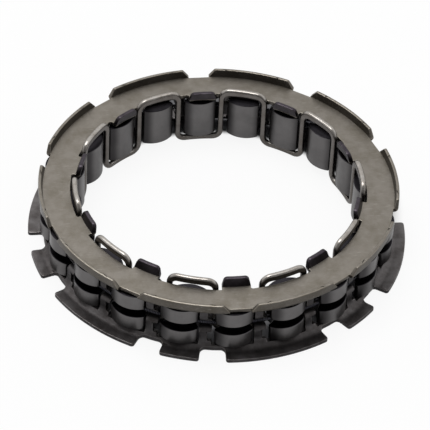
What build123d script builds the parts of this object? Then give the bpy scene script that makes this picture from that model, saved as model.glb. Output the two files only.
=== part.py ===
from build123d import *

import os
from math import asin, cos, degrees, radians, sin, sqrt

# Sprag clutch: the caged insert of a one-way bearing, without its races.
#
# Twenty sprags stand in the windows of a drawn outer cage. A garter spring in their
# grooves and in the cage's trough leans them all the same way, and a meandering inner
# cage keeps their feet in step. A stamped side plate closes the windows.
#
# Frame: +Z is the ring axis, and z = 0 is the underside of the flange. Sprag 1 is
# centred on +X, and the others follow counter-clockwise. Lengths are in millimetres and
# angles in degrees.

# ---------------------------------------------------------------- races that it fits
INNER_RACE_RADIUS = 24.86
RACE_SPACE = 8.33            # from the inner race to the outer race

# ---------------------------------------------------------------- sprags
SPRAG_PAIRS = 10
PIVOT_STANDOFF = 3.14        # axis that a sprag rocks about, beyond the inner race
SPRAG_LENGTH = 7.9
SPRAG_LIFT = 1.55            # sprag's lower end above the flange's underside
HEAD_RACE_GAP = 0.59         # crown of the outer face to the outer race
HEAD_WIDTH = 6.7
HEAD_CROWN = 1.4             # height of the outer face's arc over its chord
HEAD_LEAN = -0.83            # centre of the outer face, off the pivot's radius
HEAD_DEPTH = 0.7             # straight flank under each corner of the outer face
FOOT_RACE_GAP = 0.24         # crown of the inner face to the inner race
FOOT_WIDTH = 6.0
FOOT_CROWN = 1.05
FOOT_LEAN = 0.38
FOOT_DEPTH = 0.5
WAIST_WIDTH = 4.3
WAIST_HEIGHT = 1.3           # length of the waist's straight stretch
WAIST_LEAN = -0.2

# ---------------------------------------------------------------- garter spring
SPRING_DIAMETER = 1.1        # outside of the coil
BOSS_RADIUS = 1.1            # floor of the sprag's groove, about the pivot
SPRING_REST_GAP = 0.3        # spring to groove floor and to trough floor
GROOVE_SIDE_GAP = 0.32
TROUGH_SIDE_GAP = 0.27

# ---------------------------------------------------------------- outer cage
CAGE_SHEET = 0.75
TROUGH_BEND = 0.15           # hollow radius of the bends at the trough's lips
WALL_PROUD = 0.05            # wall's outer face beyond the corners of the sprag heads
CROSSBAR_WIDTH = 1.42
CROSSBAR_GAP = 0.32          # sprag head to the crossbar that it leans from
LEDGE_GAP = 0.52             # sprag head to the end of the ledge behind it
SLOT_END_GAP = 0.2           # sprag's lower end to the bottom of its slot
SILL_HEIGHT = 1.93           # bottom of the gaps beside the crossbars
FLARE_RADIUS = 1.1           # bend from wall to flange, on its hollow side
FLANGE_LAP = 1.61            # flange beyond the outer race's bore

# ---------------------------------------------------------------- petals of the flange
PETAL_GROUPS = 6
PETAL_START = 12.0           # middle of the first narrow petal
NARROW_PETAL = 11.9
PETAL_SPACE = 8.0
PETAL_ROOT_WEB = 0.75        # sheet left between the wall and a space's root
PETAL_ROOT_RADIUS = 0.9
PETAL_CORNER_RADIUS = 0.5

# ---------------------------------------------------------------- side plate
PLATE_THICKNESS = 0.8
PLATE_GAP = 0.15             # sprag's upper end to the plate
PLATE_CAGE_GAP = 0.2         # inner cage to the plate's inner edge
RIM_RACE_GAP = 0.29          # rim to the outer race
RIM_HEIGHT = 1.43
RIM_EDGE = 0.55              # thickness of the rim's upper edge
RIM_BEND = 0.15
NOTCH_DEPTH = 0.9            # rim's outer face to the plate's edge in a notch
NOTCH_BASE_WIDTH = 3.86
NOTCH_TOP_WIDTH = 6.1
NOTCH_RADIUS = 0.55
TAB_THICKNESS = 0.75
TAB_SETBACK = 0.7            # plate's inner edge to the tab's outer face
TAB_BEND = 0.2
TAB_HEIGHT = 1.53
TAB_BASE_WIDTH = 4.9
TAB_TOP_WIDTH = 3.8
TAB_CORNER_RADIUS = 0.6
TAB_ROOT_RADIUS = 0.34

# ---------------------------------------------------------------- inner cage
INNER_CAGE_RACE_GAP = 0.94   # inner cage to the inner race
INNER_CAGE_THICKNESS = 1.0
INNER_CAGE_LEAN = 1.0        # turn that centres its openings on the sprags' feet
BAR_WIDTH = 0.95
LOOP_BASE = 0.1              # underside of the lower loops
LOOP_BAND = 0.95
ARCH_BAND = 1.05
ARCH_TOP_RISE = 1.8          # top of the arches above the plate
LOOP_CORNER = 1.05           # inside corners of loops and arches

# ---------------------------------------------------------------- worked out from these
SPRAG_COUNT = 2 * SPRAG_PAIRS
PITCH = 360 / SPRAG_COUNT
OUTER_RACE_RADIUS = INNER_RACE_RADIUS + RACE_SPACE
PIVOT_RADIUS = INNER_RACE_RADIUS + PIVOT_STANDOFF
HEAD_CROWN_RADIUS = OUTER_RACE_RADIUS - HEAD_RACE_GAP
HEAD_CORNER_RADIUS = HEAD_CROWN_RADIUS - HEAD_CROWN
SPRAG_TOP = SPRAG_LIFT + SPRAG_LENGTH
SPRAG_MIDDLE = SPRAG_LIFT + SPRAG_LENGTH / 2
PLATE_BOTTOM = SPRAG_TOP + PLATE_GAP
PLATE_TOP = PLATE_BOTTOM + PLATE_THICKNESS
WALL_RADIUS = HEAD_CORNER_RADIUS + WALL_PROUD
WALL_INNER_RADIUS = WALL_RADIUS - CAGE_SHEET
SPRING_RADIUS = PIVOT_RADIUS + BOSS_RADIUS + SPRING_REST_GAP + SPRING_DIAMETER / 2
TROUGH_RADIUS = SPRING_RADIUS - SPRING_DIAMETER / 2 - SPRING_REST_GAP
TROUGH_WIDTH = SPRING_DIAMETER + 2 * TROUGH_SIDE_GAP
GROOVE_WIDTH = SPRING_DIAMETER + 2 * GROOVE_SIDE_GAP
FLANGE_RADIUS = OUTER_RACE_RADIUS + FLANGE_LAP
INNER_CAGE_BORE = INNER_RACE_RADIUS + INNER_CAGE_RACE_GAP
INNER_CAGE_OUTSIDE = INNER_CAGE_BORE + INNER_CAGE_THICKNESS
PLATE_INNER_RADIUS = INNER_CAGE_OUTSIDE + PLATE_CAGE_GAP
RIM_RADIUS = OUTER_RACE_RADIUS - RIM_RACE_GAP
RIM_TOP = PLATE_TOP + RIM_HEIGHT

FLARE_FLATS = 2              # flats that the flare's bend is drawn with
CROWN_FLATS = 8              # flats that a sprag's crowned face is drawn with
BOSS_FLATS = 6               # flats round the pivot on the floor of a sprag's groove
RING_FLATS = 40              # straight lengths that the spring is drawn with
TOUCH = 1e-3                 # distance within which two places are the same
ACROSS_X = Plane((0, 0, 0), x_dir=(0, 1, 0), z_dir=(1, 0, 0))

SPRAG_ANGLES = [PITCH * number for number in range(SPRAG_COUNT)]
ARCH_ANGLES = SPRAG_ANGLES[0::2]     # sprags under an arch of the inner cage
TAB_ANGLES = SPRAG_ANGLES[1::2]      # sprags under a notch and a tab of the plate


def sector(start, end):
    """Face between two angles about the ring axis, wider than the clutch."""
    reach = 2 * FLANGE_RADIUS
    rays = [(reach * cos(radians(a)), reach * sin(radians(a))) for a in (start, (start + end) / 2, end)]
    return make_face(Polyline((0, 0), *rays, close=True))


def wedge(start, end, bottom, top):
    """Prism on a sector, from one height to another."""
    return Pos(0, 0, bottom) * extrude(sector(start, end), top - bottom)


def turned_copies(shape, angles):
    """Copies of a shape turned about the ring axis."""
    return [Rot(0, 0, angle) * shape for angle in angles]


def ring_from_profile(profile):
    """Ring revolved from a face drawn with radius as x and height as y."""
    return revolve(Plane.XZ * profile, Axis.Z)


def flare_points(centre, radius, start, end):
    """Points on one side of the flare's bend, between two angles."""
    angles = [start + (end - start) * step / FLARE_FLATS for step in range(FLARE_FLATS + 1)]
    return [(centre[0] + radius * cos(radians(a)), centre[1] + radius * sin(radians(a))) for a in angles]


def crown_points(corner, crown, middle, width):
    """Points of a sprag's crowned face, on the arc through its corners and its crown."""
    rise = crown - corner
    radius = (width**2 / 4 + rise**2) / (2 * rise)
    half_turn = asin(width / 2 / radius)
    turns = [half_turn * (2 * step / CROWN_FLATS - 1) for step in range(CROWN_FLATS + 1)]
    return [(crown - radius + radius * cos(turn), middle + radius * sin(turn)) for turn in turns]


def round_off(corners, radius):
    """Shape with square corners cut back to the flat that touches their radius."""
    return chamfer(corners, (2 - sqrt(2)) * radius)


def corners_at(sketch, points):
    """Corners of a sketch that lie at the points."""
    places = [Vector(*point) for point in points]
    return [v for v in sketch.vertices() if any((v.center() - place).length < TOUCH for place in places)]


# ---------------------------------------------------------------- outer cage
def cage_profile():
    """Section of the drawn ring: wall, trough for the spring, flare and flange."""
    low = SPRAG_MIDDLE - TROUGH_WIDTH / 2
    high = SPRAG_MIDDLE + TROUGH_WIDTH / 2
    trough_back = TROUGH_RADIUS - CAGE_SHEET
    flare_centre = (WALL_RADIUS + FLARE_RADIUS, CAGE_SHEET + FLARE_RADIUS)
    section = make_face(
        Polyline(
            (WALL_RADIUS, low),
            (TROUGH_RADIUS, low),
            (TROUGH_RADIUS, high),
            (WALL_RADIUS, high),
            (WALL_RADIUS, PLATE_BOTTOM),
            (WALL_INNER_RADIUS, PLATE_BOTTOM),
            (WALL_INNER_RADIUS, high + CAGE_SHEET),
            (trough_back, high + CAGE_SHEET),
            (trough_back, low - CAGE_SHEET),
            (WALL_INNER_RADIUS, low - CAGE_SHEET),
            *flare_points(flare_centre, FLARE_RADIUS + CAGE_SHEET, 180, 270),
            (FLANGE_RADIUS, 0),
            (FLANGE_RADIUS, CAGE_SHEET),
            *flare_points(flare_centre, FLARE_RADIUS, 270, 180),
            close=True,
        )
    )
    lips = corners_at(section, [(WALL_RADIUS, low), (WALL_RADIUS, high)])
    return round_off(lips, TROUGH_BEND + CAGE_SHEET)


def petal_waste():
    """What the punch takes out of the flange between its petals."""
    group = 360 / PETAL_GROUPS
    half_space = PETAL_SPACE / 2
    offset = NARROW_PETAL / 2 + half_space
    root = WALL_RADIUS + PETAL_ROOT_WEB
    disc = Circle(FLANGE_RADIUS)
    for number in range(PETAL_GROUPS):
        for side in (-1, 1):
            middle = PETAL_START + number * group + side * offset
            disc -= sector(middle - half_space, middle + half_space) - Circle(root)
    at_rim = [v for v in disc.vertices() if abs(v.center().length - FLANGE_RADIUS) < TOUCH]
    disc = round_off(at_rim, PETAL_CORNER_RADIUS)
    at_root = [v for v in disc.vertices() if abs(v.center().length - root) < TOUCH]
    disc = round_off(at_root, PETAL_ROOT_RADIUS)
    return Pos(0, 0, -CAGE_SHEET) * extrude(Circle(FLANGE_RADIUS + CAGE_SHEET) - disc, 3 * CAGE_SHEET)


def angle_at_wall(offset):
    """Angle of a point on the wall's outer face that lies off a sprag's radius."""
    return degrees(asin(offset / WALL_RADIUS))


def outer_cage():
    """Drawn ring with its slots, the gaps beside its crossbars, and its petals."""
    half_head = HEAD_WIDTH / 2
    slot_start = angle_at_wall(HEAD_LEAN - half_head - LEDGE_GAP)
    slot_end = angle_at_wall(HEAD_LEAN + half_head + CROSSBAR_GAP)
    crossbar_end = slot_end + angle_at_wall(CROSSBAR_WIDTH) - PITCH
    above = PLATE_TOP
    upper_ledge = SPRAG_MIDDLE + TROUGH_WIDTH / 2 + CAGE_SHEET
    lower_ledge = SPRAG_MIDDLE - TROUGH_WIDTH / 2 - CAGE_SHEET
    slot_middle = (slot_start + slot_end) / 2
    slot = wedge(slot_start, slot_end, SPRAG_LIFT - SLOT_END_GAP, above)
    upper_gap = wedge(crossbar_end, slot_middle, upper_ledge, above)
    lower_gap = wedge(crossbar_end, slot_middle, SILL_HEIGHT, lower_ledge)
    opening = slot + upper_gap + lower_gap
    ring = ring_from_profile(cage_profile())
    return ring - turned_copies(opening, SPRAG_ANGLES) - petal_waste()


# ---------------------------------------------------------------- side plate
def plate_profile():
    """Section of the plate and of its upturned rim."""
    inner = PLATE_INNER_RADIUS - TAB_SETBACK - TAB_THICKNESS
    section = make_face(
        Polyline(
            (inner, PLATE_BOTTOM),
            (RIM_RADIUS, PLATE_BOTTOM),
            (RIM_RADIUS, RIM_TOP),
            (RIM_RADIUS - RIM_EDGE, RIM_TOP),
            (RIM_RADIUS - PLATE_THICKNESS, PLATE_TOP),
            (inner, PLATE_TOP),
            close=True,
        )
    )
    return round_off(corners_at(section, [(RIM_RADIUS, PLATE_BOTTOM)]), PLATE_THICKNESS + RIM_BEND)


def notch():
    """Cutter for the notch in the rim over a sprag on +X."""
    half_base = NOTCH_BASE_WIDTH / 2
    half_top = NOTCH_TOP_WIDTH / 2
    clear = NOTCH_TOP_WIDTH
    outline = make_face(
        Polyline(
            (-half_base, PLATE_BOTTOM - PLATE_THICKNESS),
            (half_base, PLATE_BOTTOM - PLATE_THICKNESS),
            (half_base, PLATE_TOP),
            (half_top, RIM_TOP),
            (clear, RIM_TOP),
            (clear, RIM_TOP + RIM_HEIGHT),
            (-clear, RIM_TOP + RIM_HEIGHT),
            (-clear, RIM_TOP),
            (-half_top, RIM_TOP),
            (-half_base, PLATE_TOP),
            close=True,
        )
    )
    outline = round_off(corners_at(outline, [(-half_top, RIM_TOP), (half_top, RIM_TOP)]), NOTCH_RADIUS)
    return Pos(RIM_RADIUS - NOTCH_DEPTH, 0, 0) * (ACROSS_X * extrude(outline, 3 * NOTCH_DEPTH))


def tab():
    """Upturned tab over a sprag on +X, from the line where its bend starts."""
    outer_face = PLATE_INNER_RADIUS - TAB_SETBACK
    inner_face = outer_face - TAB_THICKNESS
    bend_start = outer_face + TAB_BEND
    top = PLATE_TOP + TAB_HEIGHT
    section = make_face(
        Polyline(
            (bend_start, PLATE_BOTTOM),
            (inner_face, PLATE_BOTTOM),
            (inner_face, top),
            (outer_face, top),
            (outer_face, PLATE_TOP + TAB_BEND),
            (bend_start, PLATE_TOP),
            close=True,
        )
    )
    section = round_off(corners_at(section, [(inner_face, PLATE_BOTTOM)]), TAB_THICKNESS + TAB_BEND)
    half_base = TAB_BASE_WIDTH / 2
    half_top = TAB_TOP_WIDTH / 2
    front = make_face(
        Polyline(
            (-half_base, PLATE_BOTTOM),
            (half_base, PLATE_BOTTOM),
            (half_base, PLATE_TOP),
            (half_top, top),
            (-half_top, top),
            (-half_base, PLATE_TOP),
            close=True,
        )
    )
    front = round_off(corners_at(front, [(-half_top, top), (half_top, top)]), TAB_CORNER_RADIUS)
    return extrude(Plane.XZ * section, half_base, both=True) & (ACROSS_X * extrude(front, PLATE_INNER_RADIUS))


def plate_opening():
    """Hole of the plate, with a root left for each tab."""
    bend_start = PLATE_INNER_RADIUS - TAB_SETBACK + TAB_BEND
    root_side = sqrt(PLATE_INNER_RADIUS**2 - (TAB_BASE_WIDTH / 2) ** 2) - bend_start
    depth = 3 * PLATE_THICKNESS
    root = Pos(bend_start + PLATE_THICKNESS, 0) * Box(2 * PLATE_THICKNESS, TAB_BASE_WIDTH, depth)
    hole = Rot(0, 0, PITCH) * Cylinder(PLATE_INNER_RADIUS, depth) - turned_copies(root, TAB_ANGLES)
    upright = hole.edges().filter_by(Axis.Z)
    at_edge = [e for e in upright if Vector(e.center().X, e.center().Y).length > PLATE_INNER_RADIUS - TOUCH]
    hole = round_off(at_edge, min(TAB_ROOT_RADIUS, root_side))
    return Pos(0, 0, PLATE_BOTTOM + PLATE_THICKNESS / 2) * hole


def side_plate():
    """Stamped plate with ten rim arcs and ten tabs."""
    plate = ring_from_profile(plate_profile()) - plate_opening()
    plate -= turned_copies(notch(), TAB_ANGLES)
    return plate + turned_copies(tab(), TAB_ANGLES)


# ---------------------------------------------------------------- inner cage
def edges_across(strip, heights):
    """Straight edges of the strip that run across its thickness at the heights."""
    across = [e for e in strip.edges() if e.geom_type == GeomType.LINE and abs(e.tangent_at(0.5).Z) < TOUCH]
    return [e for e in across if any(abs(e.center().Z - height) < TOUCH for height in heights)]


def inner_cage():
    """Strip that passes over one sprag and under the next, all round."""
    top = PLATE_TOP + ARCH_TOP_RISE
    half_opening = PITCH / 2 - degrees(BAR_WIDTH / 2 / INNER_CAGE_BORE)
    washer = Circle(INNER_CAGE_OUTSIDE) - Circle(INNER_CAGE_BORE)
    ring = Pos(0, 0, LOOP_BASE) * extrude(washer, top - LOOP_BASE)
    over = wedge(-half_opening, half_opening, LOOP_BASE + LOOP_BAND, top + LOOP_BAND)
    under = wedge(-half_opening, half_opening, LOOP_BASE - LOOP_BAND, top - ARCH_BAND)
    strip = ring - turned_copies(over, TAB_ANGLES) - turned_copies(under, ARCH_ANGLES)
    strip = round_off(edges_across(strip, (LOOP_BASE + LOOP_BAND, top - ARCH_BAND)), LOOP_CORNER)
    strip = round_off(edges_across(strip, (LOOP_BASE, top)), LOOP_CORNER + BAR_WIDTH)
    return Rot(0, 0, INNER_CAGE_LEAN) * strip


# ---------------------------------------------------------------- garter spring
def garter_spring():
    """Envelope of the closed coil that lies in the trough and the grooves."""
    half = SPRING_DIAMETER / 2
    outside = RegularPolygon(SPRING_RADIUS + half, RING_FLATS)
    inside = RegularPolygon(SPRING_RADIUS - half, RING_FLATS, major_radius=False)
    ring = Pos(0, 0, SPRAG_MIDDLE) * extrude(outside - inside, half, both=True)
    level = [e for e in ring.edges() if abs(e.tangent_at(0.5).Z) < TOUCH]
    return chamfer(level, SPRING_DIAMETER / (2 + sqrt(2)))


# ---------------------------------------------------------------- sprags
def sprag_profile():
    """Section of a sprag on +X: crowned head, waist and crowned foot."""
    head_foot = HEAD_CORNER_RADIUS - HEAD_DEPTH
    sole = INNER_RACE_RADIUS + FOOT_RACE_GAP
    foot_corner = sole + FOOT_CROWN
    foot_head = foot_corner + FOOT_DEPTH
    waist_top = (head_foot + foot_head + WAIST_HEIGHT) / 2
    waist_foot = waist_top - WAIST_HEIGHT
    head_left, head_right = HEAD_LEAN - HEAD_WIDTH / 2, HEAD_LEAN + HEAD_WIDTH / 2
    foot_left, foot_right = FOOT_LEAN - FOOT_WIDTH / 2, FOOT_LEAN + FOOT_WIDTH / 2
    waist_left, waist_right = WAIST_LEAN - WAIST_WIDTH / 2, WAIST_LEAN + WAIST_WIDTH / 2
    return make_face(
        Polyline(
            *crown_points(HEAD_CORNER_RADIUS, HEAD_CROWN_RADIUS, HEAD_LEAN, HEAD_WIDTH),
            (head_foot, head_right),
            (waist_top, waist_right),
            (waist_foot, waist_right),
            (foot_head, foot_right),
            *reversed(crown_points(foot_corner, sole, FOOT_LEAN, FOOT_WIDTH)),
            (foot_head, foot_left),
            (waist_foot, waist_left),
            (waist_top, waist_left),
            (head_foot, head_left),
            close=True,
        )
    )


def sprag():
    """Sprag on +X, with the groove that the garter spring lies in."""
    body = Pos(0, 0, SPRAG_LIFT) * extrude(sprag_profile(), SPRAG_LENGTH)
    reach = OUTER_RACE_RADIUS - PIVOT_RADIUS
    floor = Rot(0, 0, 180 / BOSS_FLATS) * RegularPolygon(BOSS_RADIUS, BOSS_FLATS, major_radius=False)
    groove = Pos(reach / 2, 0) * Rectangle(reach, 2 * HEAD_WIDTH) - floor
    groove = Pos(PIVOT_RADIUS, 0, SPRAG_MIDDLE) * extrude(groove, GROOVE_WIDTH / 2, both=True)
    return body - groove


os.makedirs("parts", exist_ok=True)
pieces = {
    "outer_cage": outer_cage(),
    "side_plate": side_plate(),
    "inner_cage": inner_cage(),
    "garter_spring": garter_spring(),
}
first_sprag = sprag()
for number, angle in enumerate(SPRAG_ANGLES, start=1):
    pieces[f"sprag_{number:02d}"] = Rot(0, 0, angle) * first_sprag
for name, piece in pieces.items():
    export_step(piece, f"parts/{name}.step")
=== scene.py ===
"""Looks of a sprag clutch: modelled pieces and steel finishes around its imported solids."""
import logging
import math
from collections.abc import Iterator, Sequence
from contextlib import contextmanager
from dataclasses import dataclass, field
from enum import Enum

import bmesh
import bpy
from bpy.types import ID, Material, Node, NodeSocket, NodeTree, Object
from mathutils import Matrix, Vector


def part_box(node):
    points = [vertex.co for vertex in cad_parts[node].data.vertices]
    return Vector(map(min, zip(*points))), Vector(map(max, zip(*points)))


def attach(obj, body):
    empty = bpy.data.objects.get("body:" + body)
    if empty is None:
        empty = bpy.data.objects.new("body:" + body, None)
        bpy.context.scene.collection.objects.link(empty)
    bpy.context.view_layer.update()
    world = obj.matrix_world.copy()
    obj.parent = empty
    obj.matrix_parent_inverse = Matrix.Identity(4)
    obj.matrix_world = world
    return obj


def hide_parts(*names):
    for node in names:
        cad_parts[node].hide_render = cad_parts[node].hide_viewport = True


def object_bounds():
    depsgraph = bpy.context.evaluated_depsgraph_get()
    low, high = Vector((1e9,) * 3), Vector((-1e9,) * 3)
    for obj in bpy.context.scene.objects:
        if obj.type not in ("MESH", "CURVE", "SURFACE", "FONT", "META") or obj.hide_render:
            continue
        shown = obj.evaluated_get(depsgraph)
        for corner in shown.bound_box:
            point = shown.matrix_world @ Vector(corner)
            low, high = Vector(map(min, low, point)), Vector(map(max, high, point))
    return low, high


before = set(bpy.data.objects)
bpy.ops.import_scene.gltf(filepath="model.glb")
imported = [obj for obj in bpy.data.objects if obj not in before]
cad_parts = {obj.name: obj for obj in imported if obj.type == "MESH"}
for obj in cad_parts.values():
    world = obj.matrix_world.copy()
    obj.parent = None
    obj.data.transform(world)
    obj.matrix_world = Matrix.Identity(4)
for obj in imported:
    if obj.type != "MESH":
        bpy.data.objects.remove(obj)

MM = 0.001
CAD_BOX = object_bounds()
# Body that the two sheet rings and the spring ride on.
FRAME_BODY = "outer_cage"
SPRAG_COUNT = 20
# Chords round a spun ring.
RING_STEPS = 240
# Material slots of rubbed edges, which carry painted highlights, and of bent tabs, which carry painted
# shade.
RUBBED_HIGHLIGHT_SLOT, BENT_SHADE_SLOT = 1, 2
WHITE = (1.0, 1.0, 1.0, 1.0)
# Angles in degrees: a sharp edge of sheet, and the steepest smooth edge of sheet, strip and wire.
SHARP_EDGE = 35.0
SMOOTH_SHEET, SMOOTH_STRIP, SMOOTH_WIRE = 40.0, 50.0, 60.0
# How far a flat face sets the shading of the rounded edges beside it, out of 100.
FLAT_WEIGHT = 80
# Direction that sorts the parts of a mesh, askew so that no two places of a ring tie.
SORT_AXIS = Vector((0.8317, 0.4729, 0.2911))
log = logging.getLogger("sprag_clutch")

# A point of an outline, and a corner of one with the radius that rounds it.
Point = tuple[float, float]
Corner = tuple[float, float, float]


# ---------- modelling helpers
def select_only(obj: Object) -> None:
    """Deselects everything, then selects one object and makes it active.

    Args:
        obj: Object that the next operators act on.
    """
    bpy.ops.object.select_all(action="DESELECT")
    obj.select_set(True)
    bpy.context.view_layer.objects.active = obj


@contextmanager
def edit_mode(obj: Object) -> Iterator[None]:
    """Edit mode on one object with all of it selected, left again afterwards.

    Args:
        obj: Object to edit.
    """
    select_only(obj)
    bpy.ops.object.mode_set(mode="EDIT")
    bpy.ops.mesh.select_all(action="SELECT")
    yield
    bpy.ops.object.mode_set(mode="OBJECT")


def added(name: str, data: ID) -> Object:
    """New object in the scene.

    Args:
        name: Name of the object.
        data: Its mesh, lamp or camera.
    """
    obj = bpy.data.objects.new(name, data)
    bpy.context.scene.collection.objects.link(obj)
    return obj


def named(name: str) -> Object:
    """Names the active object and its mesh, and returns it.

    Args:
        name: Name of the piece.
    """
    obj = bpy.context.active_object
    obj.name = name
    obj.data.name = name
    return obj


def apply_modifier(obj: Object, kind: str, **settings: object) -> None:
    """Adds a modifier with its settings and applies it.

    Args:
        obj: Object to work on.
        kind: Blender's name of the modifier type.
        settings: Properties of the modifier.
    """
    select_only(obj)
    modifier = obj.modifiers.new(kind.title(), kind)
    for key, value in settings.items():
        setattr(modifier, key, value)
    bpy.ops.object.modifier_apply(modifier=modifier.name)


def face_outwards(obj: Object, merge: float = 1e-7) -> None:
    """Merges doubles and turns all the faces outwards.

    Args:
        obj: Object whose mesh is closed once its doubles are merged.
        merge: Distance within which points become one, in metres.
    """
    with edit_mode(obj):
        bpy.ops.mesh.remove_doubles(threshold=merge)
        bpy.ops.mesh.normals_make_consistent(inside=False)


def smooth(obj: Object, angle: float) -> None:
    """Shades an object smooth, apart from edges sharper than an angle in degrees."""
    select_only(obj)
    bpy.ops.object.shade_smooth_by_angle(angle=math.radians(angle))


class Facing(Enum):
    """Plane that an outline is drawn in, as the axes of its two coordinates."""

    PLAN = (0, 1)
    FRONT = (1, 2)
    SECTION = (0, 2)


def shaped_loop(name: str, outline: Sequence[Point], facing: Facing) -> Object:
    """Flat face through the origin whose corners are the points of an outline.

    Args:
        name: Name of the piece.
        outline: Points in metres, in order.
        facing: Plane that the outline is drawn in.

    Returns:
        The object, one n-gon.
    """
    bpy.ops.object.select_all(action="DESELECT")
    bpy.ops.mesh.primitive_circle_add(vertices=len(outline), radius=1, fill_type="NGON")
    obj = named(name)
    order = obj.data.polygons[0].vertices
    for index, point in zip(order, outline):
        place = [0.0, 0.0, 0.0]
        for axis, value in zip(facing.value, point):
            place[axis] = value
        obj.data.vertices[index].co = place
    return obj


def prism(name: str, outline: Sequence[Point], facing: Facing, start: float, end: float) -> Object:
    """Closed prism on an outline, between two places along the plane's normal.

    Args:
        name: Name of the piece.
        outline: Points in metres, in order.
        facing: Plane that the outline is drawn in.
        start: Where the prism starts.
        end: Where it ends.
    """
    obj = shaped_loop(name, outline, facing)
    along = [0.0, 0.0, 0.0]
    axis = 3 - sum(facing.value)
    with edit_mode(obj):
        along[axis] = start
        bpy.ops.transform.translate(value=along)
        along[axis] = end - start
        bpy.ops.mesh.extrude_region_move(TRANSFORM_OT_translate={"value": along})
    face_outwards(obj)
    return obj


def spun_ring(name: str, section: Sequence[Point]) -> Object:
    """Closed ring spun about the axis from a section.

    Args:
        name: Name of the piece.
        section: Points of the section, as radius and height.
    """
    obj = shaped_loop(name, section, Facing.SECTION)
    with edit_mode(obj):
        bpy.ops.mesh.delete(type="ONLY_FACE")
        bpy.ops.mesh.select_all(action="SELECT")
        bpy.ops.mesh.spin(steps=RING_STEPS, angle=math.tau, center=(0, 0, 0), axis=(0, 0, 1))
    face_outwards(obj, merge=1e-6)
    return obj


def turned_copies(obj: Object, angles: Sequence[float]) -> Object:
    """Copies of an object turned about the ring axis, joined, in place of it.

    Args:
        obj: The object to copy.
        angles: Turns of the copies, in degrees.
    """
    bpy.ops.object.select_all(action="DESELECT")
    for angle in angles:
        mesh = obj.data.copy()
        mesh.transform(Matrix.Rotation(math.radians(angle), 4, "Z"))
        copy = added(obj.name, mesh)
        copy.select_set(True)
    bpy.context.view_layer.objects.active = copy
    bpy.data.objects.remove(obj)
    bpy.ops.object.join()
    return bpy.context.active_object


def settle_order(obj: Object) -> None:
    """Sorts the parts of a mesh by place, because a boolean gives them another order on each run.

    Args:
        obj: The object that was cut.
    """
    mesh = bmesh.new()
    mesh.from_mesh(obj.data)
    mesh.verts.sort(key=lambda vertex: vertex.co.dot(SORT_AXIS))
    mesh.edges.sort(key=lambda edge: (edge.verts[0].co + edge.verts[1].co).dot(SORT_AXIS))
    mesh.faces.sort(key=lambda face: face.calc_center_median().dot(SORT_AXIS))
    mesh.to_mesh(obj.data)
    mesh.free()


def cut(obj: Object, cutter: Object, operation: str = "DIFFERENCE") -> None:
    """Cuts an object with a closed shape, by one of the boolean operations, and uses the shape up."""
    apply_modifier(obj, "BOOLEAN", operation=operation, solver="EXACT", object=cutter)
    bpy.data.objects.remove(cutter)
    settle_order(obj)


def mark_outer_edges(obj: Object) -> None:
    """Gives the outer edges of a piece a bevel weight, and leaves its hollow corners crisp.

    Args:
        obj: The piece.
    """
    mesh = bmesh.new()
    mesh.from_mesh(obj.data)
    weight = mesh.edges.layers.float.new("bevel_weight_edge")
    for edge in mesh.edges:
        sharp = len(edge.link_faces) == 2 and edge.calc_face_angle() > math.radians(SHARP_EDGE)
        edge[weight] = float(sharp and edge.is_convex)
    mesh.to_mesh(obj.data)
    mesh.free()


def drop_flaps(obj: Object, merge: float = 0.001 * MM) -> None:
    """Removes the faces of no width that a bevel folds flat where edges meet.

    Args:
        obj: The piece.
        merge: Distance within which points become one, in metres.
    """
    with edit_mode(obj):
        bpy.ops.mesh.remove_doubles(threshold=merge)
        bpy.ops.mesh.select_mode(type="EDGE")
        bpy.ops.mesh.select_non_manifold(
            extend=False, use_multi_face=False, use_non_contiguous=False, use_verts=False
        )
        bpy.ops.mesh.delete(type="EDGE")


def soft_edges(obj: Object, radius: float, segments: int = 2) -> None:
    """Rounds the outer edges of a piece as rubbed ones, with a painted highlight in their finish, and
    evens its shading.

    Args:
        obj: The piece.
        radius: Radius of its edges, in metres.
        segments: Facets round each edge.
    """
    face_outwards(obj, merge=5e-6)
    mark_outer_edges(obj)
    facets = {"width": radius, "segments": segments, "material": RUBBED_HIGHLIGHT_SLOT}
    apply_modifier(obj, "BEVEL", limit_method="WEIGHT", use_clamp_overlap=False, **facets)
    drop_flaps(obj)
    smooth(obj, SMOOTH_SHEET)
    apply_modifier(obj, "WEIGHTED_NORMAL", keep_sharp=True, weight=FLAT_WEIGHT)


def arc(centre: Point, radius: float, start: float, end: float, steps: int) -> list[Point]:
    """Points along an arc of some chords, between two angles in radians, both ends included."""
    turns = [start + (end - start) * step / steps for step in range(steps + 1)]
    return [(centre[0] + radius * math.cos(t), centre[1] + radius * math.sin(t)) for t in turns]


def arc_through(first: Point, middle: Point, last: Point, steps: int) -> list[Point]:
    """Points along the arc through three points, both ends included.

    Args:
        first: Where the arc starts.
        middle: A point that it passes.
        last: Where the arc ends.
        steps: Number of chords.
    """
    # As complex numbers, the three points give the centre in one step.
    a, b, c = (complex(*p) for p in (first, middle, last))
    w = (c - a) / (b - a)
    centre = (b - a) * (w - abs(w) ** 2) / (2j * w.imag) + a
    radius = abs(a - centre)
    start = math.atan2((a - centre).imag, (a - centre).real)
    turn = math.remainder(math.atan2((c - centre).imag, (c - centre).real) - start, math.tau)
    return arc((centre.real, centre.imag), radius, start, start + turn, steps)


def polar(radius: float, angle: float) -> Point:
    """Point at a distance from the ring axis and an angle about it in degrees."""
    return radius * math.cos(math.radians(angle)), radius * math.sin(math.radians(angle))


def both_sides(right: Sequence[Corner]) -> list[Corner]:
    """Corners of an outline that is alike on both sides of x = 0, from those with x of 0 or more."""
    return [*right, *((-x, y, radius) for x, y, radius in reversed(right) if x)]


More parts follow.
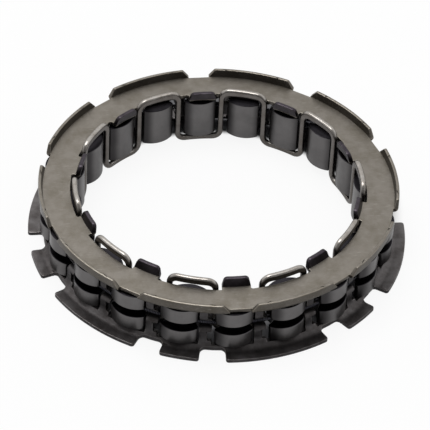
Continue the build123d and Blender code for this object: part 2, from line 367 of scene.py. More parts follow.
def rounded(corners: Sequence[Corner], steps: int = 5) -> list[Point]:
    """Outline through corners, each with an arc of its own radius.

    Args:
        corners: Corners in order, each as x, y and radius.
        steps: Chords of each arc.
    """
    outline: list[Point] = []
    for index, (x, y, radius) in enumerate(corners):
        corner = Vector((x, y))
        if not radius:
            outline.append((x, y))
            continue
        back = (Vector(corners[index - 1][:2]) - corner).normalized()
        ahead = (Vector(corners[(index + 1) % len(corners)][:2]) - corner).normalized()
        half = back.angle(ahead) / 2
        centre = corner + (back + ahead).normalized() * radius / math.sin(half)
        first = corner + back * radius / math.tan(half) - centre
        last = corner + ahead * radius / math.tan(half) - centre
        start = math.atan2(first.y, first.x)
        turn = math.remainder(math.atan2(last.y, last.x) - start, math.tau)
        outline += arc((centre.x, centre.y), radius, start, start + turn, steps)
    return outline


def extent(node: str) -> tuple[float, float, float, float]:
    """Inner radius, outer radius, bottom and top of a CAD node on the ring axis, in metres.

    Args:
        node: Name of the node.
    """
    distances = [math.hypot(v.co.x, v.co.y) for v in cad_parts[node].data.vertices]
    low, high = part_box(node)
    return min(distances), max(distances), low.z, high.z


# ---------- finishes
def linear(code: str) -> tuple[float, float, float, float]:
    """Linear colour of an sRGB value of six hex digits."""
    parts = [int(code[i : i + 2], 16) / 255 for i in (0, 2, 4)]
    return (*[p / 12.92 if p <= 0.04045 else ((p + 0.055) / 1.055) ** 2.4 for p in parts], 1.0)


def add_node(
    tree: NodeTree, kind: str, inputs: dict[str | int, object] | None = None, **settings: object
) -> Node:
    """Adds a shader node, sets its properties, and sets or links its inputs.

    Args:
        tree: Node tree of the material or world.
        kind: Blender's name of the node type, without ShaderNode.
        inputs: Input name or number to a value, to an output socket, or to a node, which is
            linked from the first of its outputs that is in use.
        settings: Properties of the node.

    Returns:
        The new node.
    """
    node = tree.nodes.new("ShaderNode" + kind)
    for key, value in settings.items():
        setattr(node, key, value)
    for key, value in (inputs or {}).items():
        if isinstance(value, Node):
            value = next(output for output in value.outputs if output.enabled)
        if isinstance(value, NodeSocket):
            tree.links.new(value, node.inputs[key])
        else:
            node.inputs[key].default_value = value
    return node


def between(value: object, ends: Point, to: Point = (0.0, 1.0)) -> dict[str, object]:
    """Inputs that take the value of a node or socket from one range to another."""
    return {"Value": value, "From Min": ends[0], "From Max": ends[1], "To Min": to[0], "To Max": to[1]}


class Grain(Enum):
    """Which way the marks of a finish run."""

    TUMBLED = (1.0, 1.0, 1.0)
    ALONG_AXIS = (1.0, 1.0, 0.06)
    ROUND_RING = (0.25, 0.25, 1.0)


def pitches_off(tree: NodeTree, place: NodeSocket) -> Node:
    """Distance from the middle of the nearest sprag, in sprag pitches.

    Args:
        tree: Node tree of the material.
        place: Object coordinates.
    """
    apart = add_node(tree, "SeparateXYZ", {"Vector": place}).outputs
    angle = add_node(tree, "Math", {0: apart["Y"], 1: apart["X"]}, operation="ARCTAN2")
    pitches = add_node(tree, "Math", {0: angle, 1: SPRAG_COUNT / math.tau}, operation="MULTIPLY")
    return add_node(tree, "Math", {0: pitches, 1: 0.5}, operation="PINGPONG")


# Height of a face's normal at which its painted light is that of an upright face and at which it is that
# of a level one.
PAINTED_LIGHT_ENDS = (0.3, 0.8)
# Where the noise of the clouds, of the fine marks and of the scratches starts and ends.
CLOUD_ENDS = (0.38, 0.68)
MARK_ENDS = (0.3, 0.7)
SCRATCH_ENDS = (0.66, 0.74)
# Width of a scratch, its width over its length, the ways that scratches run, and their colour.
SCRATCH_MM = 0.16
SCRATCH_STRETCH = 0.07
SCRATCH_TURNS = (25.0, -48.0, 82.0)
SCRATCH_COLOUR = "C8C4BE"
# Where the painted shade between two sprags starts and is full, in sprag pitches, and its tint.
BETWEEN_SHADE_ENDS = (0.17, 0.36)
BETWEEN_SHADE_COLOUR = "5A585C"
# Height of the fine marks, which is drawn coarser than it is to show.
MARK_HEIGHT_MM = 0.02


@dataclass(frozen=True)
class SteelFinish:
    """Bare steel with clouds, fine marks and scratches, with painted light and shade: one tone for level
    faces, one for upright faces, and painted shade between the sprags.

    Attributes:
        name: Name of the material.
        slot: Material slot of the record that it belongs to.
        level: Colour of its level faces, as sRGB hex, with the light that falls on them painted in.
        upright: Colour of its upright faces, as sRGB hex, with their shade painted in.
        stain: Tint of its clouds over either colour, as sRGB hex.
        roughness: Mean roughness.
        spread: How far the roughness strays from its mean.
        cloud_mm: Size of the clouds.
        mark_mm: Distance between the fine marks.
        mark_depth: Height of the marks, as the bump's strength.
        grain: Which way the marks run.
        scratch: How much the scratches lighten the surface.
        between_shade: How far painted shade darkens it between the sprags.
    """

    name: str
    slot: str
    level: str
    upright: str
    stain: str
    roughness: float
    spread: float
    cloud_mm: float
    mark_mm: float
    mark_depth: float
    grain: Grain = Grain.TUMBLED
    scratch: float = 0.0
    between_shade: float = 0.0

    def colour(self, tree: NodeTree, place: NodeSocket) -> Node:
        """Colour with painted light and shade by the way that a face looks, clouded, scratched, and with
        painted shade between the sprags.

        Args:
            tree: Node tree of the material.
            place: Object coordinates.
        """
        # Painted light and shade: level faces take the level colour and upright faces the upright one.
        normal = add_node(tree, "TexCoord").outputs["Normal"]
        height = add_node(tree, "SeparateXYZ", {"Vector": normal}).outputs["Z"]
        steep = add_node(tree, "Math", {0: height}, operation="ABSOLUTE")
        facing = add_node(tree, "MapRange", between(steep, PAINTED_LIGHT_ENDS))
        clouds = {"Vector": place, "Scale": 1 / (self.cloud_mm * MM), "Detail": 6.0, "Roughness": 0.62}
        cover = add_node(tree, "MapRange", between(add_node(tree, "TexNoise", clouds), CLOUD_ENDS))
        layers = [("MIX", facing, self.level), ("MULTIPLY", cover, self.stain)]
        for turn in SCRATCH_TURNS if self.scratch else ():
            rotation, scale = (0, 0, math.radians(turn)), (SCRATCH_STRETCH, 1, 1)
            along = add_node(tree, "Mapping", {"Vector": place, "Rotation": rotation, "Scale": scale})
            lines = {"Vector": along, "Scale": 1 / (SCRATCH_MM * MM), "Detail": 2.0}
            seen = between(add_node(tree, "TexNoise", lines), SCRATCH_ENDS, (0.0, self.scratch))
            layers.append(("SCREEN", add_node(tree, "MapRange", seen), SCRATCH_COLOUR))
        # Painted shade where neighbouring sprags shade each other, darkest midway between them.
        if self.between_shade:
            between_shading = between(pitches_off(tree, place), BETWEEN_SHADE_ENDS, (0.0, self.between_shade))
            between_shade_mask = add_node(tree, "MapRange", between_shading, interpolation_type="SMOOTHSTEP")
            layers.append(("MULTIPLY", between_shade_mask, BETWEEN_SHADE_COLOUR))
        colour = linear(self.upright)
        for blend, factor, tint in layers:
            inputs = {"Factor": factor, "A": colour, "B": linear(tint)}
            colour = add_node(tree, "Mix", inputs, data_type="RGBA", blend_type=blend)
        return colour

    def material(self) -> Material:
        """Material made of this finish's nodes, made once."""
        made = bpy.data.materials.get(self.name)
        if made:
            return made
        material = bpy.data.materials.new(self.name)
        material.use_nodes = True
        tree = material.node_tree
        tree.nodes.clear()
        place = add_node(tree, "TexCoord").outputs["Object"]
        stretched = add_node(tree, "Mapping", {"Vector": place, "Scale": self.grain.value})
        noise = {"Vector": stretched, "Scale": 1 / (self.mark_mm * MM), "Detail": 4.0}
        marks = add_node(tree, "TexNoise", noise)
        ends = (self.roughness - self.spread, self.roughness + self.spread)
        relief = {"Strength": self.mark_depth, "Distance": MARK_HEIGHT_MM * MM, "Height": marks}
        look = {
            "Base Color": self.colour(tree, place),
            "Metallic": 1.0,
            "Roughness": add_node(tree, "MapRange", between(marks, MARK_ENDS, ends)),
            "Normal": add_node(tree, "Bump", relief),
        }
        add_node(tree, "OutputMaterial", {"Surface": add_node(tree, "BsdfPrincipled", look)})
        return material


# Stamped mild steel, tumbled: a warm satin grey with faint scratches, with painted shade on upright
# faces.
STAMPED_STEEL = SteelFinish(
    "stamped_mild_steel", "plate_steel", "7A756E", "5C5853", "DEDCD6",
    roughness=0.42, spread=0.06, cloud_mm=3.0, mark_mm=0.14, mark_depth=0.3, scratch=0.15
)
# The same steel where tumbling has rubbed the edges: thin lighter lines round the stamping, part wear and
# part painted highlight.
RUBBED_HIGHLIGHT_STEEL = SteelFinish(
    "rubbed_highlight_mild_steel", "plate_steel", "88837B", "78726B", "D8D4CE",
    roughness=0.34, spread=0.06, cloud_mm=1.2, mark_mm=0.12, mark_depth=0.2
)
# The same steel on the tabs, painted nearly black as shade, with a soft sheen.
SHADED_BENT_STEEL = SteelFinish(
    "shaded_bent_steel", "plate_steel", "454045", "3C383B", "C8C6C8",
    roughness=0.36, spread=0.06, cloud_mm=1.6, mark_mm=0.14, mark_depth=0.25
)
# Drawn and hardened strip with quench oil: a dull warm grey, with a painted sheen on the petals and
# painted shade on upright faces.
HARDENED_STRIP = SteelFinish(
    "hardened_drawn_strip", "cage_steel", "646161", "4A4849", "BCB8B6",
    roughness=0.48, spread=0.08, cloud_mm=2.4, mark_mm=0.15, mark_depth=0.3
)
# The same strip where its edges have been rubbed: a thin light line on each petal, part wear and part
# painted highlight.
RUBBED_HIGHLIGHT_STRIP = SteelFinish(
    "rubbed_highlight_drawn_strip", "cage_steel", "767272", "565454", "C8C4C0",
    roughness=0.32, spread=0.06, cloud_mm=1.2, mark_mm=0.12, mark_depth=0.2
)
# Drawn bearing steel, vibro-finished: neutral grey with faint lines, painted black as shade on its level
# faces, the cut-off ends and the groove's sides, and darkened by painted shade between the sprags.
BEARING_STEEL = SteelFinish(
    "drawn_bearing_steel", "sprag_steel", "2E2C30", "696767", "E6E6E6",
    roughness=0.33, spread=0.05, cloud_mm=4.0, mark_mm=0.1, mark_depth=0.2,
    grain=Grain.ALONG_AXIS, between_shade=0.75
)
# The same steel on the vibro-rounded edges of the sprags: a painted glint on them, dimmed by painted
# shade between the sprags.
RUBBED_GLINT_SPRAG = SteelFinish(
    "vibro_rounded_glint_steel", "sprag_steel", "DAD8D6", "8C8A8A", "E8E8E8",
    roughness=0.24, spread=0.05, cloud_mm=2.0, mark_mm=0.1, mark_depth=0.15,
    grain=Grain.ALONG_AXIS, between_shade=0.9
)
# Pressed spring strip, tumbled bright: small soft mirror, so its rounded edges flash, with a painted
# highlight on its level faces and painted shade on upright ones.
SPRING_STRIP = SteelFinish(
    "bright_spring_strip", "inner_cage_steel", "AAA6A1", "6E6A67", "DCD8D4",
    roughness=0.3, spread=0.05, cloud_mm=2.0, mark_mm=0.1, mark_depth=0.15,
    grain=Grain.ROUND_RING
)
# Oiled music wire: dark blue-black, with a thin glint on each turn.
MUSIC_WIRE = SteelFinish(
    "oiled_music_wire", "spring_steel", "48484E", "48484E", "B0AEB2",
    roughness=0.35, spread=0.05, cloud_mm=1.5, mark_mm=0.08, mark_depth=0.2
)


def dress(obj: Object, finishes: Sequence[SteelFinish], body: str, *nodes: str) -> None:
    """Gives a piece its materials, its body and the CAD nodes it stands for.

    Args:
        obj: The piece.
        finishes: Its finishes, in the order of its material slots.
        body: CAD body that it rides on.
        nodes: CAD nodes that it replaces.
    """
    obj.data.materials.clear()
    for finish in finishes:
        obj.data.materials.append(finish.material())
    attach(obj, body)
    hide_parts(*nodes)
    log.info("%s: %d faces, rides on %s", obj.name, len(obj.data.polygons), body)


# ---------- side plate
@dataclass
class SidePlate:
    """Stamped plate with ten rim arcs and ten tabs, bent up from one blank.

    Attributes:
        pairs: Number of tabs, each over a notch of the rim.
        sheet: Thickness of the plate.
        rim_edge: Thickness of the rim's upper edge.
        rim_height: Rim above the plate.
        bend: Hollow radius of the bends.
        notch_depth: Rim's outer face to the edge of a notch.
        notch_base: Width of a notch at the plate.
        notch_top: Width of a notch at the rim's top.
        notch_corner: Radius of the rim's upper corners.
        tab_sheet: Thickness of a tab.
        tab_setback: Plate's inner edge to a tab's outer face.
        tab_lean: How far a tab leans in at its top.
        tab_base: Width of a tab at the plate.
        tab_top: Width of a tab at its top.
        tab_corner: Radius of its upper corners.
        tab_root: Radius beside its root.
        edge: Radius of the tumbled edges.
    """

    pairs: int = SPRAG_COUNT // 2
    sheet: float = 0.8 * MM
    rim_edge: float = 0.55 * MM
    rim_height: float = 1.43 * MM
    bend: float = 0.15 * MM
    notch_depth: float = 0.9 * MM
    notch_base: float = 3.86 * MM
    notch_top: float = 6.1 * MM
    notch_corner: float = 0.5 * MM
    tab_sheet: float = 0.75 * MM
    tab_setback: float = 0.7 * MM
    tab_lean: float = 0.45 * MM
    tab_base: float = 5.1 * MM
    tab_top: float = 4.3 * MM
    tab_corner: float = 0.8 * MM
    tab_root: float = 0.3 * MM
    edge: float = 0.12 * MM
    inner: float = field(init=False)
    outer: float = field(init=False)
    bottom: float = field(init=False)
    top: float = field(init=False)
    tab_height: float = field(init=False)

    def __post_init__(self) -> None:
        """Takes the radii and heights from the CAD node."""
        self.inner, self.outer, self.bottom, self.tab_height = extent("side_plate")
        self.top = self.bottom + self.sheet

    def section(self) -> list[Point]:
        """Section through a tab, the plate and the rim."""
        rim_top = self.top + self.rim_height
        tab_outer = self.inner + self.tab_sheet
        corners = [
            (self.inner, self.bottom, self.tab_sheet + self.bend),
            (self.outer, self.bottom, self.sheet + self.bend),
            (self.outer, rim_top, 0),
            (self.outer - self.rim_edge, rim_top, 0),
            (self.outer - self.sheet, self.top, 0),
            (tab_outer, self.top, 0),
            (tab_outer - self.tab_lean, self.tab_height, 0),
            (self.inner - self.tab_lean, self.tab_height, 0),
        ]
        return rounded(corners, steps=6)

    def notch(self) -> Object:
        """Cutter for the notch in the rim over a sprag on +X."""
        half_base, half_top = self.notch_base / 2, self.notch_top / 2
        rim_top = self.top + self.rim_height
        clear = self.notch_top
        right = [
            (half_base, self.bottom - self.sheet, 0),
            (half_base, self.top, 0),
            (half_top, rim_top, self.notch_corner),
            (clear, rim_top, 0),
            (clear, rim_top + self.rim_height, 0),
        ]
        start = self.outer - self.notch_depth
        end = start + 3 * self.notch_depth
        return prism("notch", rounded(both_sides(right)), Facing.FRONT, start, end)

    def gap(self) -> Object:
        """Cutter for the stretch of the opening between two tabs, centred on +X."""
        opening = self.inner + self.tab_sheet + self.tab_setback
        half_pitch = 180 / self.pairs
        tab_side = math.degrees(math.asin(self.tab_base / 2 / opening))
        inside = self.inner - 2 * self.tab_sheet
        inside_side = math.degrees(math.asin(self.tab_base / 2 / inside))
        reach = half_pitch - tab_side
        inside_reach = half_pitch - inside_side
        count = round(RING_STEPS * reach / 180)
        rim = [polar(opening, reach * (2 * step / count - 1)) for step in range(1, count)]
        corners = [(*polar(inside, -inside_reach), 0), (*polar(opening, -reach), self.tab_root)]
        corners += [(x, y, 0) for x, y in rim]
        corners += [(*polar(opening, reach), self.tab_root), (*polar(inside, inside_reach), 0)]
        start, end = self.bottom - self.sheet, self.tab_height + self.sheet
        return prism("gap", rounded(corners), Facing.PLAN, start, end)

    def tab_frame(self) -> Object:
        """Cutter that trims the sides and upper corners of a tab on +X."""
        half_base, half_top = self.tab_base / 2, self.tab_top / 2
        clear = self.tab_base
        right = [
            (clear, self.tab_height + clear, 0),
            (clear, self.top, 0),
            (half_base, self.top, 0),
            (half_top, self.tab_height, self.tab_corner),
            (0, self.tab_height, 0),
        ]
        start, end = self.inner - 2 * self.sheet, self.inner + self.tab_sheet + self.bend
        return prism("tab_frame", rounded(both_sides(right)), Facing.FRONT, start, end)

    def paint_tab_shade(self, obj: Object) -> None:
        """Paints shade on the upright part of the tabs, with the darker finish of its third slot.

        Args:
            obj: The finished plate.
        """
        low, reach = self.top + self.bend, self.inner + 2 * self.tab_sheet
        for face in obj.data.polygons:
            if face.center.z > low and math.hypot(*face.center.xy) < reach:
                face.material_index = BENT_SHADE_SLOT

    def build(self) -> None:
        """Spun ring, notched, opened between its tabs and tumbled."""
        obj = spun_ring("side_plate_stamped", self.section())
        pitch = 360 / self.pairs
        arches = [pitch * number for number in range(self.pairs)]
        tabs = [angle + pitch / 2 for angle in arches]
        cut(obj, turned_copies(self.notch(), tabs))
        cut(obj, turned_copies(self.gap(), arches))
        cut(obj, turned_copies(self.tab_frame(), tabs))
        dress(obj, (STAMPED_STEEL, RUBBED_HIGHLIGHT_STEEL, SHADED_BENT_STEEL), FRAME_BODY, "side_plate")
        soft_edges(obj, self.edge)
        self.paint_tab_shade(obj)


# ---------- outer cage
@dataclass
class OuterCage:
    """Drawn ring with a trough for the spring, slots, crossbars and petals.

    Attributes:
        sheet: Thickness of the sheet.
        bend: Hollow radius of its tight bends.
        trough_depth: Wall's outer face to the trough's floor.
        trough_width: Height of the trough.
        trough_middle: Height of the trough's middle.
        flare: Radius of the bend from wall to flange, on its hollow side.
        slot: First and last angle of a slot, from its sprag's radius, in degrees.
        gap: First angle of the gap beside a crossbar, in degrees.
        slot_floor: Height of a slot's lower end.
        sill: Height of the lower end of the gaps.
        punch_corner: Radius of the punched corners.
        groups: Number of groups of petals.
        petal_start: Middle of the first narrow petal, in degrees.
        narrow_petal: Width of a narrow petal, in degrees.
        petal_space: Width of the spaces, in degrees.
        root_web: Sheet left between the wall and a space's root.
        root_corner: Radius of the spaces' inner corners.
        petal_corner: Radius of the petals' outer corners.
        edge: Radius of the tumbled edges.
    """

    sheet: float = 0.75 * MM
    bend: float = 0.15 * MM
    trough_depth: float = 2.15 * MM
    trough_width: float = 1.64 * MM
    trough_middle: float = 5.5 * MM
    flare: float = 1.9 * MM
    slot: Point = (-8.65, 5.21)
    gap: float = -10.18
    slot_floor: float = 1.35 * MM
    sill: float = 1.93 * MM
    punch_corner: float = 0.25 * MM
    groups: int = 6
    petal_start: float = 12.0
    narrow_petal: float = 11.9
    petal_space: float = 8.0
    root_web: float = 0.75 * MM
    root_corner: float = 0.9 * MM
    petal_corner: float = 0.5 * MM
    edge: float = 0.1 * MM
    wall: float = field(init=False)
    rim: float = field(init=False)
    top: float = field(init=False)

    def __post_init__(self) -> None:
        """Takes the radii and the height from the CAD node."""
        back, self.rim, _, self.top = extent("outer_cage")
        self.wall = back + self.sheet + self.trough_depth

    def ledges(self) -> tuple[float, float]:
        """Heights of the trough's outer sides."""
        half = self.trough_width / 2 + self.sheet
        return self.trough_middle - half, self.trough_middle + half

    def section(self) -> list[Point]:
        """Section of the ring: wall, trough, flare and flange."""
        wall_back = self.wall - self.sheet
        floor = self.wall - self.trough_depth
        trough_back = floor - self.sheet
        half = self.trough_width / 2
        low, high = self.trough_middle - half, self.trough_middle + half
        under, over = self.ledges()
        lip = self.bend + self.sheet
        corners = [
            (wall_back, 0, self.flare + self.sheet),
            (self.rim + self.sheet, 0, 0),
            (self.rim + self.sheet, self.sheet, 0),
            (self.wall, self.sheet, self.flare),
            (self.wall, low, lip),
            (floor, low, 0),
            (floor, high, 0),
            (self.wall, high, lip),
            (self.wall, self.top, 0),
            (wall_back, self.top, 0),
            (wall_back, over, 0),
            (trough_back, over, self.sheet),
            (trough_back, under, self.sheet),
            (wall_back, under, 0),
        ]
        return rounded(corners, steps=8)

    def opening(self) -> Object:
        """Cutter for the slot of a sprag on +X and the gap beside its crossbar."""
        first, last, gap = (self.wall * math.tan(math.radians(a)) for a in (*self.slot, self.gap))
        under, over = self.ledges()
        above = self.top + self.sheet
        punch = self.punch_corner
        corners = [
            (first, self.slot_floor, punch),
            (last, self.slot_floor, punch),
            (last, above, 0),
            (gap, above, 0),
            (gap, over, punch),
            (first, over, punch),
            (first, under, punch),
            (gap, under, punch),
            (gap, self.sill, punch),
            (first, self.sill, punch),
        ]
        start, end = self.wall - 2 * self.trough_depth, self.wall + self.trough_depth
        obj = prism("opening", rounded(corners, steps=4), Facing.FRONT, start, end)
        for vertex in obj.data.vertices:
            vertex.co.y *= vertex.co.x / self.wall
        return obj

    def petals(self) -> Object:
        """Prism over the outline of the petals, with all inside it."""
        root = self.wall + self.root_web
        pitch = 360 / self.groups
        wide_petal = pitch - self.narrow_petal - 2 * self.petal_space
        chord = 360 / RING_STEPS
        corners: list[Corner] = []
        start = self.petal_start - self.narrow_petal / 2
        for number in range(2 * self.groups):
            width = wide_petal if number % 2 else self.narrow_petal
            count = round(width / chord)
            end = start + width
            corners.append((*polar(root, start), self.root_corner))
            corners.append((*polar(self.rim, start), self.petal_corner))
            corners += [(*polar(self.rim, start + width * step / count), 0) for step in range(1, count)]
            corners.append((*polar(self.rim, end), self.petal_corner))
            corners.append((*polar(root, end), self.root_corner))
            corners.append((*polar(root, end + self.petal_space / 2), 0))
            start = end + self.petal_space
        return prism("petals", rounded(corners), Facing.PLAN, -self.sheet, self.top + self.sheet)

    def build(self) -> None:
        """Spun ring, trimmed to its petals, slotted and tumbled."""
        obj = spun_ring("outer_cage_drawn", self.section())
        cut(obj, self.petals(), "INTERSECT")
        angles = [360 / SPRAG_COUNT * number for number in range(SPRAG_COUNT)]
        cut(obj, turned_copies(self.opening(), angles))
        dress(obj, (HARDENED_STRIP, RUBBED_HIGHLIGHT_STRIP), FRAME_BODY, "outer_cage")
        soft_edges(obj, self.edge)


# ---------- inner cage
@dataclass
class InnerCage:
    """Strip that passes over one sprag and under the next, all round.

    Attributes:
        pairs: Number of arches.
        bar: Width of the upright bars.
        loop_band: Height of the strip in its lower loops.
        arch_band: Height of the strip in its arches.
        corner: Inside radius of its corners.
        lean: Turn of its openings from the sprags' radii, in degrees.
        edge: Radius of its long edges.
        corner_steps: Chords round each corner.
        band_steps: Chords along each half band.
    """

    pairs: int = SPRAG_COUNT // 2
    bar: float = 1.05 * MM
    loop_band: float = 1.1 * MM
    arch_band: float = 1.42 * MM
    corner: float = 1.0 * MM
    lean: float = 1.0
    edge: float = 0.385 * MM
    corner_steps: int = 7
    band_steps: int = 5
    inner: float = field(init=False)
    outer: float = field(init=False)
    bottom: float = field(init=False)
    top: float = field(init=False)

    def __post_init__(self) -> None:
        """Takes the radii and heights from the CAD node."""
        self.inner, self.outer, self.bottom, self.top = extent("inner_cage")

    def half_opening(self) -> float:
        """Half the width of an opening, along the strip's inner face."""
        return (math.pi / self.pairs / 2) * self.inner - self.bar / 2

    def rails(self) -> list[tuple[Point, Point]]:
        """Pairs of points on the two long edges, from an arch's middle to a loop's.

        Returns:
            (edge towards the arch's opening, edge towards the loop's opening), where x
            runs along the strip and y is the height.
        """
        half, small = self.half_opening(), self.corner
        bar_end, large = half + self.bar, small + self.bar
        pitch = half + bar_end
        arch_under, loop_over = self.top - self.arch_band, self.bottom + self.loop_band
        shares = [step / self.band_steps for step in range(self.band_steps)]
        up, back, down = math.pi / 2, math.pi, 1.5 * math.pi
        steps = self.corner_steps
        flat, wide = half - small, bar_end - large
        pairs = [((part * flat, arch_under), (part * wide, self.top)) for part in shares]
        pairs += zip(
            arc((flat, arch_under - small), small, up, 0, steps),
            arc((wide, self.top - large), large, up, 0, steps),
        )
        pairs += zip(
            arc((half + large, self.bottom + large), large, back, down, steps),
            arc((bar_end + small, loop_over + small), small, back, down, steps),
        )
        pairs += [
            ((pitch - part * wide, self.bottom), (pitch - part * flat, loop_over))
            for part in reversed(shares)
        ]
        return pairs

    def all_rails(self) -> list[tuple[Point, Point]]:
        """The pairs of points all round the ring."""
        half = self.rails()
        pitch = half[-1][0][0]
        cell = half + [((2 * pitch - a[0], a[1]), (2 * pitch - b[0], b[1])) for a, b in half[-2::-1]]
        return [
            ((a[0] + 2 * pitch * number, a[1]), (b[0] + 2 * pitch * number, b[1]))
            for number in range(self.pairs)
            for a, b in cell[:-1]
        ]

    def build(self) -> None:
        """Strip laid out from a grid, wrapped round the ring, thickened and rounded."""
        rails = self.all_rails()
        bpy.ops.object.select_all(action="DESELECT")
        bpy.ops.mesh.primitive_grid_add(x_subdivisions=len(rails), y_subdivisions=1, size=2)
        obj = named("inner_cage_strip")
        columns = sorted(obj.data.vertices, key=lambda v: (round(v.co.x, 6), v.co.y))
        length = 2 * self.pairs * (2 * self.half_opening() + self.bar)
        for index, vertex in enumerate(columns):
            along, height = rails[(index // 2) % len(rails)][index % 2]
            turn = math.radians(self.lean) + math.tau * along / length
            vertex.co = (self.inner * math.cos(turn), self.inner * math.sin(turn), height)
        face_outwards(obj)
        thickness = self.outer - self.inner
        apply_modifier(obj, "SOLIDIFY", thickness=thickness, offset=1.0, use_even_offset=True)
        face_outwards(obj)
        sharp = math.radians(60)
        apply_modifier(obj, "BEVEL", width=self.edge, segments=4, limit_method="ANGLE", angle_limit=sharp)
        smooth(obj, SMOOTH_STRIP)
        dress(obj, (SPRING_STRIP,), "inner_cage", "inner_cage")


# ---------- garter spring
@dataclass
class GarterSpring:
    """Closed coil of fine wire that rings the sprags.

    Attributes:
        wire: Diameter of the wire.
        gap: Space between the turns.
        turn_steps: Chords round each turn.
        wire_sides: Sides of the wire.
    """

    wire: float = 0.24 * MM
    gap: float = 0.06 * MM
    turn_steps: int = 12
    wire_sides: int = 6

    def build(self) -> None:
        """Wire circle screwed into one straight coil, then closed into a ring."""
        _, outer, low, high = extent("garter_spring")
        diameter = high - low
        coil_radius = (diameter - self.wire) / 2
        ring_radius = outer - diameter / 2
        turns = round(math.tau * ring_radius / (self.wire + self.gap))
        bpy.ops.object.select_all(action="DESELECT")
        place = {"location": (coil_radius, 0, 0), "rotation": (math.pi / 2, 0, 0)}
        bpy.ops.mesh.primitive_circle_add(vertices=self.wire_sides, radius=self.wire / 2, **place)
        obj = named("garter_spring_coil")
        bpy.ops.object.transform_apply(location=True, rotation=True, scale=True)
        apply_modifier(
            obj,
            "SCREW",
            angle=math.tau,
            screw_offset=math.tau * ring_radius / turns,
            iterations=turns,
            steps=self.turn_steps,
            render_steps=self.turn_steps,
            use_merge_vertices=False,
        )
        middle = (low + high) / 2
        for vertex in obj.data.vertices:
            x, y, along = vertex.co
            turn = along / ring_radius
            reach = ring_radius + x
            vertex.co = (reach * math.cos(turn), reach * math.sin(turn), middle + y)
        face_outwards(obj, merge=2e-6)
        smooth(obj, SMOOTH_WIRE)
        dress(obj, (MUSIC_WIRE,), FRAME_BODY, "garter_spring")


# ---------- sprags
@dataclass
class SpragSet:
    """Twenty alike sprags, modelled once on +X and copied round the ring.

    Attributes:
        pivot: Radius of the circle that they rock about.
        head_reach: Crown of the head beyond the pivot.
        head_width: Width of the head.
        head_crown: Height of the head's arc over its chord.
        head_lean: Middle of the head, off the pivot's radius.
        head_depth: Straight flank under the head's corners.
        foot_reach: Crown of the foot inside the pivot.
        foot_width: Width of the foot.
        foot_crown: Height of the foot's arc over its chord.
        foot_lean: Middle of the foot, off the pivot's radius.
        foot_depth: Straight flank over the foot's corners.
        waist_width: Width of the waist.
        waist_lean: Middle of the waist, off the pivot's radius.
        boss: Radius of the groove's round floor.
        groove: Width of the groove.
        edge: Radius of the tumbled edges.
    """

    pivot: float = 28.0 * MM
    head_reach: float = 4.6 * MM
    head_width: float = 6.7 * MM
    head_crown: float = 1.4 * MM
    head_lean: float = -0.83 * MM
    head_depth: float = 0.7 * MM
    foot_reach: float = 2.9 * MM
    foot_width: float = 6.0 * MM
    foot_crown: float = 1.05 * MM
    foot_lean: float = 0.38 * MM
    foot_depth: float = 0.5 * MM
    waist_width: float = 4.3 * MM
    waist_lean: float = -0.2 * MM
    boss: float = 1.1 * MM
    groove: float = 1.74 * MM
    edge: float = 0.16 * MM

    def outline(self) -> list[Point]:
        """Section of a sprag on +X: crowned head, waist and crowned foot."""
        crown = self.pivot + self.head_reach
        head_corner = crown - self.head_crown
        head_foot = head_corner - self.head_depth
        sole = self.pivot - self.foot_reach
        foot_corner = sole + self.foot_crown
        foot_head = foot_corner + self.foot_depth
        middle = (head_foot + foot_head) / 2
        head, foot, waist = (
            [lean + side * width / 2 for side in (-1, 1)]
            for lean, width in (
                (self.head_lean, self.head_width),
                (self.foot_lean, self.foot_width),
                (self.waist_lean, self.waist_width),
            )
        )
        head_steps, flank_steps, foot_steps = 18, 8, 14
        arcs = (
            ((head_corner, head[0]), (crown, self.head_lean), (head_corner, head[1]), head_steps),
            ((head_foot, head[1]), (middle, waist[1]), (foot_head, foot[1]), flank_steps),
            ((foot_corner, foot[1]), (sole, self.foot_lean), (foot_corner, foot[0]), foot_steps),
            ((foot_head, foot[0]), (middle, waist[0]), (head_foot, head[0]), flank_steps),
        )
        return [point for places in arcs for point in arc_through(*places)]

    def groove_cutter(self, middle: float) -> Object:
        """Block with a round hole, which cuts the groove and leaves its boss.

        Args:
            middle: Height of the groove's middle.
        """
        reach = self.head_reach + self.head_width
        bpy.ops.mesh.primitive_cylinder_add(
            vertices=48, radius=self.boss, depth=2 * self.groove, location=(self.pivot, 0, middle)
        )
        boss = named("groove_boss")
        sides = (reach, 2 * self.head_width, self.groove)
        bpy.ops.mesh.primitive_cube_add(size=1, location=(self.pivot + reach / 2, 0, middle), scale=sides)
        cutter = named("groove_cutter")
        cut(cutter, boss)
        return cutter

    def pattern_sprag(self) -> Object:
        """Sprag on +X, from its outline to its tumbled edges."""
        low, high = extent("sprag_01")[2:]
        obj = prism("sprag_pattern", self.outline(), Facing.PLAN, low, high)
        cut(obj, self.groove_cutter((low + high) / 2))
        for finish in (BEARING_STEEL, RUBBED_GLINT_SPRAG):
            obj.data.materials.append(finish.material())
        soft_edges(obj, self.edge, 3)
        return obj

    def build(self) -> None:
        """All the sprags, each on its own body."""
        pattern = self.pattern_sprag()
        for number in range(SPRAG_COUNT):
            node = f"sprag_{number + 1:02d}"
            mesh = pattern.data.copy()
            mesh.transform(Matrix.Rotation(math.tau * number / SPRAG_COUNT, 4, "Z"))
            obj = added(node + "_body", mesh)
            mesh.name = obj.name
            dress(obj, (BEARING_STEEL, RUBBED_GLINT_SPRAG), node, node)
        bpy.data.objects.remove(pattern)


